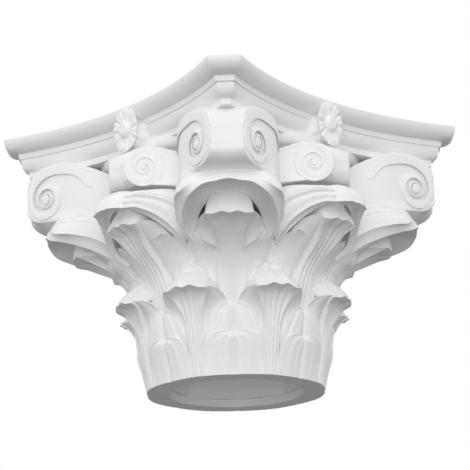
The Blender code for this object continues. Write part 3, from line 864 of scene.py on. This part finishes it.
@dataclass
class Studio:
    """A small grey floor, soft light and the camera at the photograph's angle."""

    camera_place: tuple[float, float, float] = (35.7, -2971.3, -626.6)
    camera_forward: tuple[float, float, float] = (-0.0100, 0.95876, 0.28404)
    camera_up: tuple[float, float, float] = (0.03001, -0.28364, 0.95846)
    focal_pixels: float = 1971.95
    image_pixels: float = 470.0
    sensor: float = 36.0
    turn: float = math.radians(45.0)
    sky_below: float = 0.08
    sky_above: float = 0.97
    sky_low: float = -0.6
    sky_high: float = 0.25
    floor_size: float = 4.0
    floor_height: float = -1.6
    floor_gray: float = 0.10
    floor_roughness: float = 0.9
    aim_height: float = 0.25
    lamps: tuple[Lamp, ...] = (Lamp("key", 0.0, -14.0, 3.0, 19.0, 2.0),
                               Lamp("upper", 0.0, 16.0, 3.0, 10.0, 2.0),
                               Lamp("left", -75.0, 10.0, 3.0, 5.0, 1.6))

    def build(self) -> None:
        """Set the camera, the floor, the lights and the sky."""
        self.camera()
        self.floor()
        self.lights()

    def camera(self) -> None:
        """Place the camera, which looks up at the corner between +X and -Y."""
        turned = Matrix.Rotation(self.turn, 3, "Z")
        forward = (turned @ Vector(self.camera_forward)).normalized()
        up = turned @ Vector(self.camera_up)
        right = forward.cross(up).normalized()
        up = right.cross(forward)
        data = bpy.data.cameras.new("camera")
        data.sensor_width = self.sensor
        data.lens = self.focal_pixels * self.sensor / self.image_pixels
        camera = bpy.data.objects.new("camera", data)
        bpy.context.scene.collection.objects.link(camera)
        axes = Matrix((right, up, -forward)).transposed().to_4x4()
        camera.matrix_world = Matrix.Translation(turned @ (Vector(self.camera_place) * MM)) @ axes
        bpy.context.scene.camera = camera

    def floor(self) -> None:
        """Lay a small grey floor far below, which the low camera doesn't reach."""
        clear_selection()
        bpy.ops.mesh.primitive_grid_add(x_subdivisions=4, y_subdivisions=4, size=self.floor_size,
                                        location=(0.0, 0.0, self.floor_height))
        floor = bpy.context.object
        floor.name = "floor"
        material = bpy.data.materials.new("studio_gray")
        material.use_nodes = True
        shader = material.node_tree.nodes["Principled BSDF"]
        shader.inputs["Base Color"].default_value = (self.floor_gray,) * 3 + (1.0,)
        shader.inputs["Roughness"].default_value = self.floor_roughness
        floor.data.materials.append(material)

    def lights(self) -> None:
        """Light the carving softly from the camera's side, with a white ground behind it."""
        bpy.context.scene.view_settings.view_transform = "Standard"
        world = bpy.data.worlds.new("sky")
        world.use_nodes = True
        tree = world.node_tree
        links, ground = tree.links, tree.nodes["Background"]
        ground.inputs["Color"].default_value = (1.0, 1.0, 1.0, 1.0)
        place, axes = add_node(tree, "TexCoord"), add_node(tree, "SeparateXYZ")
        rise = add_node(tree, "MapRange", From_Min=self.sky_low, From_Max=self.sky_high,
                        To_Min=self.sky_below, To_Max=self.sky_above)
        path, seen = add_node(tree, "LightPath"), add_node(tree, "Mix", B=1.0)
        links.new(place.outputs["Generated"], axes.inputs["Vector"])
        links.new(axes.outputs["Z"], rise.inputs["Value"])
        links.new(path.outputs["Is Camera Ray"], seen.inputs["Factor"])
        links.new(rise.outputs["Result"], seen.inputs["A"])
        links.new(seen.outputs["Result"], ground.inputs["Strength"])
        bpy.context.scene.world = world
        turned = Matrix.Rotation(self.turn, 3, "Z")
        aim = Vector((0.0, 0.0, self.aim_height))
        for lamp in self.lamps:
            bearing, rise = math.radians(lamp.bearing), math.radians(lamp.rise)
            level = math.cos(rise)
            way = Vector((math.sin(bearing) * level, -math.cos(bearing) * level, math.sin(rise)))
            place = turned @ (way * lamp.distance) + aim
            data = bpy.data.lights.new(lamp.name, "AREA")
            data.energy = lamp.power
            data.size = lamp.size
            light = bpy.data.objects.new(lamp.name, data)
            light.location = place
            light.rotation_euler = (aim - place).to_track_quat("-Z", "Y").to_euler()
            light.visible_camera = False
            bpy.context.scene.collection.objects.link(light)


# The whole capital


LOWER_LEAF = Leaf(
    name="lower_leaf",
    front=((136, -10), (136.5, 0), (140, 20), (145, 44), (149, 64), (153, 82), (159, 97), (167, 109),
           (178, 119), (190, 126)),
    half_widths=((13, -10), (14, 44), (15, 64), (16, 82), (20, 97), (25, 109), (30, 118), (36, 127)),
    cap=((0, 0), (-3, 5), (-10, 14), (-20, 23.5), (-30, 30.5), (-42, 33), (-52, 30)),
    lobes=(
        Lobe(rim=((144, 9, 45), (146, 11.5, 65), (148.5, 12, 82), (152, 14, 96), (158, 18, 107),
                  (165, 22.5, 114.5), (174, 28, 120), (185, 35, 124.5)),
             edge=((142, 46, 55), (144, 50, 75), (147, 51, 92), (151, 50.5, 105), (158, 50, 114),
                   (166, 48, 120), (175, 43, 124), (185, 36, 125.5))),
        Lobe(rim=((133, 9, 8), (144, 12, 34), (149, 16, 54), (152, 24, 74), (153.5, 32, 89), (154, 37, 97),
                  (153.5, 42, 102), (152.5, 50, 104), (149, 57, 103)),
             edge=((128, 54, 12), (142, 58, 40), (148.5, 60, 70), (150, 60, 90), (149.5, 59, 101)),
             hollow=1.8, bulge=2.6, turn_back=0.5, flutes=2),
        Lobe(rim=((137, 9, -10), (139, 10, 5), (143, 12, 28), (147, 15, 44), (150, 20, 55),
                  (151.5, 28, 61), (151.5, 40, 63), (149, 54, 62)),
             edge=((135, 56, -10), (137, 57, 5), (143, 59, 30), (148, 60, 50), (149, 59, 60)),
             hollow=1.0, bulge=2.0, turn_back=0.0, flutes=3, flute_depth=2.6)))

CORNER_LEAF = Leaf(
    name="corner_leaf",
    front=((132, 50), (139, 85), (146, 115), (153, 140), (161, 160), (172, 177), (188, 191), (209, 202),
           (231, 210), (250, 215.5)),
    half_widths=((16, 50), (20, 115), (24, 148), (25, 168), (23, 181), (21, 192), (23, 203), (28, 210),
                 (37, 216)),
    cap=((0, 0), (-1, 11), (-5, 24), (-12, 36), (-24, 45), (-60, 51), (-98, 44)),
    end_fall=5.0, end_droop=1.0, ribs=7, rib_height=1.8, trough=9.0,
    lobes=(
        Lobe(rim=((158, 12, 160), (166, 13.5, 172), (175, 14, 184), (184, 13, 193), (194, 14, 203),
                  (206, 18, 210.5), (226, 25, 216.5), (243, 33, 221)),
             edge=((160, 50, 170), (176, 53, 186), (188, 53, 199), (195, 51.5, 208), (206, 49, 216.5),
                   (217, 44, 221.5), (236, 35, 223)), turn_back=5.0),
        Lobe(rim=((144, 18, 110), (151, 21, 140), (158, 23, 160), (168, 20, 174), (176, 17, 181),
                  (184, 25, 184.5), (190, 36, 188.5), (195, 45, 199), (198, 52, 206)),
             edge=((138, 45, 120), (145, 54, 148), (152, 60, 168), (162, 65.5, 181), (176, 66.5, 195),
                   (188, 61.5, 202.5), (197, 53.5, 207)), turn_back=7.0),
        Lobe(rim=((136, 20, 75), (141, 24, 100), (147, 27, 120), (152, 31, 134), (157, 39, 153),
                  (163, 49, 166), (161, 57, 167)),
             edge=((133, 52, 80), (139, 60, 110), (146, 64, 140), (152, 63, 160), (160, 58, 166)),
             turn_back=5.0)))

SIDE_LEAF = Leaf(
    name="side_leaf",
    front=((132, 50), (139, 88), (146, 118), (153, 142), (161, 159), (172, 173), (187, 185), (205, 198),
           (221, 211), (238, 223)),
    half_widths=((16, 50), (18, 118), (19, 142), (19, 159), (19, 173), (19, 185), (22, 198), (27, 211),
                 (35, 224)),
    cap=((0, 0), (-1, 8), (-6, 19), (-14, 28), (-26, 34), (-55, 38), (-86, 33)),
    end_fall=6.0, end_droop=3.0, rib_height=4.6,
    lobes=(
        Lobe(rim=((154, 11, 150), (163, 12, 165), (174, 13, 180), (190, 16, 192), (208, 21, 204),
                  (222, 27, 213), (236, 34, 221.5)),
             edge=((158, 50, 168), (172, 55, 186), (186, 55, 203), (198, 52, 215), (210, 48, 224),
                   (222, 42, 227), (234, 36, 224)), turn_back=3.0),
        Lobe(rim=((143, 14, 108), (149, 15, 130), (155, 16, 150), (164, 17, 168), (176, 19, 184),
                  (186, 24, 194), (194, 34, 202), (200, 48, 208), (198, 58, 206)),
             edge=((138, 48, 125), (145, 56, 150), (155, 62, 172), (168, 67, 188), (182, 67, 200),
                   (196, 60, 205)), turn_back=3.0),
        Lobe(rim=((136, 16, 75), (141, 19, 100), (147, 23, 122), (153, 29, 142), (160, 38, 160),
                  (165, 48, 170), (163, 58, 170)),
             edge=((133, 52, 80), (139, 60, 110), (146, 65, 140), (154, 65, 160), (162, 59, 168)),
             turn_back=3.0)))

CORNER_HOOD = Hood(
    name="corner_hood",
    top=((270, 0, 285), (270, 24, 284), (270, 42, 278), (262, 56, 277), (244, 66, 280), (215, 72, 283),
         (185, 74, 276), (160, 72, 255)),
    wide=((283, 0, 264), (282.5, 24, 263), (282, 40, 257), (279, 56, 250), (271, 69, 243), (258, 77, 241),
          (240, 80, 238), (214, 80, 232), (190, 78, 220), (168, 68, 205), (150, 56, 190)),
    low=((291, 0, 250), (291, 24, 249), (288, 40, 245), (280, 52, 238), (268, 60, 234), (252, 65, 229),
         (235, 69, 223), (214, 70, 215), (192, 66, 205), (170, 54, 191), (148, 42, 173)),
    deep=((234, 0, 253), (233.5, 15, 251), (231, 28, 245), (222, 38, 236), (208, 46, 227), (194, 50, 218),
          (183, 54, 206), (168, 52, 192), (148, 40, 175)),
    groove_depth=3.6)

SIDE_HOOD = Hood(
    name="side_hood",
    top=((244, 0, 274), (243, 14, 273), (236, 28, 271), (218, 42, 273), (200, 56, 275), (180, 68, 274),
         (160, 72, 262)),
    wide=((261, 0, 262), (260, 16, 261), (254, 31, 258), (238, 45, 260), (222, 58, 258), (206, 70, 253),
          (190, 79, 245), (176, 80, 235), (158, 72, 220)),
    low=((266, 0, 243), (265, 16, 242), (258, 31, 240), (242, 42, 242), (226, 53, 237), (211, 63, 228),
         (197, 71, 216), (181, 75, 201), (160, 66, 188)),
    deep=((238, 0, 248), (236, 14, 247), (231, 26, 243), (223, 37, 238), (212, 48, 229), (201, 57, 219),
          (183, 65, 204), (158, 62, 190)),
    arch=4.0, peak=0.0, knurl=3.0, band_share=0.95, groove_depth=5.2)

CORNER_SCROLL = Scroll(
    name="corner_scroll", eye=(288, 44, 307), rise=54.0, fall=36.0, strip=(319, 25), crease=4.0,
    flank=75.0, root=160.0, eye_radius=8.0,
    turns=((174, 92, 8), (168, 76, 12), (158, 60, 15), (130, 44, 17), (100, 36, 16), (60, 29, 17),
           (0, 22, 11), (-90, 22, 11), (-180, 19, 8), (-270, 15.5, 6), (-360, 12.5, 5), (-450, 11, 4),
           (-540, 10, 3.6), (-640, 8, 3)))

SIDE_SCROLL = Scroll(
    name="side_scroll", eye=(218, 38, 310), rise=31.0, fall=27.0, strip=(237, 16.5), crease=4.0,
    flank=82.0, root=160.0, eye_radius=5.0, blunt=0.12, coin=30.0,
    turns=((150, 27, 6), (100, 23, 8), (0, 19, 8), (-90, 17.5, 7.5), (-180, 16, 4.5), (-270, 14, 4),
           (-360, 11, 3.5), (-450, 8.5, 3.2), (-540, 7, 3), (-640, 5, 2.5)),
    rib_height=2.2)


@dataclass
class Capital:
    """The whole casting: the bell, the abacus and all the carving as one closed mesh."""

    body: Body = field(default_factory=Body)
    abacus: Abacus = field(default_factory=Abacus)
    flower: Flower = field(default_factory=Flower)
    finish: PrimerFinish = PrimerFinish()
    lower_turn: float = math.radians(22.8)
    crisp_angle: float = math.radians(38.0)

    def carving(self) -> list[bpy.types.Object]:
        """Model each kind of form once and copy it to its arms."""
        forms: list[bpy.types.Object] = []
        for obj in CORNER_LEAF.build(self.body) + [CORNER_HOOD.build()] + CORNER_SCROLL.build():
            forms += on_arms(obj, Arm.CORNER)
        for obj in (SIDE_LEAF.build(self.body) + [SIDE_HOOD.build()] + SIDE_SCROLL.build()
                    + self.flower.build()):
            forms += on_arms(obj, Arm.SIDE)
        for obj in LOWER_LEAF.build(self.body):
            twin = copy_of(obj, f"{obj.name}_twin", Matrix.Identity(4))
            forms += on_arms(obj, Arm.CORNER, self.lower_turn)
            forms += on_arms(twin, Arm.CORNER, -self.lower_turn)
        return forms

    def build(self) -> bpy.types.Object:
        """Join the forms into one piece and dress it."""
        piece = self.body.build()
        piece.name = "capital_carving"
        combine(piece, self.carving() + [self.abacus.build()], "UNION")
        combine(piece, self.body.cutters(), "DIFFERENCE")
        clear_selection()
        bpy.context.view_layer.objects.active = piece
        piece.select_set(True)
        bpy.ops.object.shade_smooth_by_angle(angle=self.crisp_angle)
        piece.data.materials.clear()
        piece.data.materials.append(self.finish.material())
        return piece


def report(piece: bpy.types.Object) -> None:
    """Log a piece's size."""
    piece.data.calc_loop_triangles()
    log.info("%s: %d triangles", piece.name, len(piece.data.loop_triangles))


def main() -> None:
    """Build the capital and the studio round it."""
    logging.basicConfig(level=logging.INFO, format="%(name)s %(message)s")
    piece = Capital().build()
    report(piece)
    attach(piece, "root")
    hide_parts("capital")
    Studio().build()


if __name__ == "__main__":
    main()
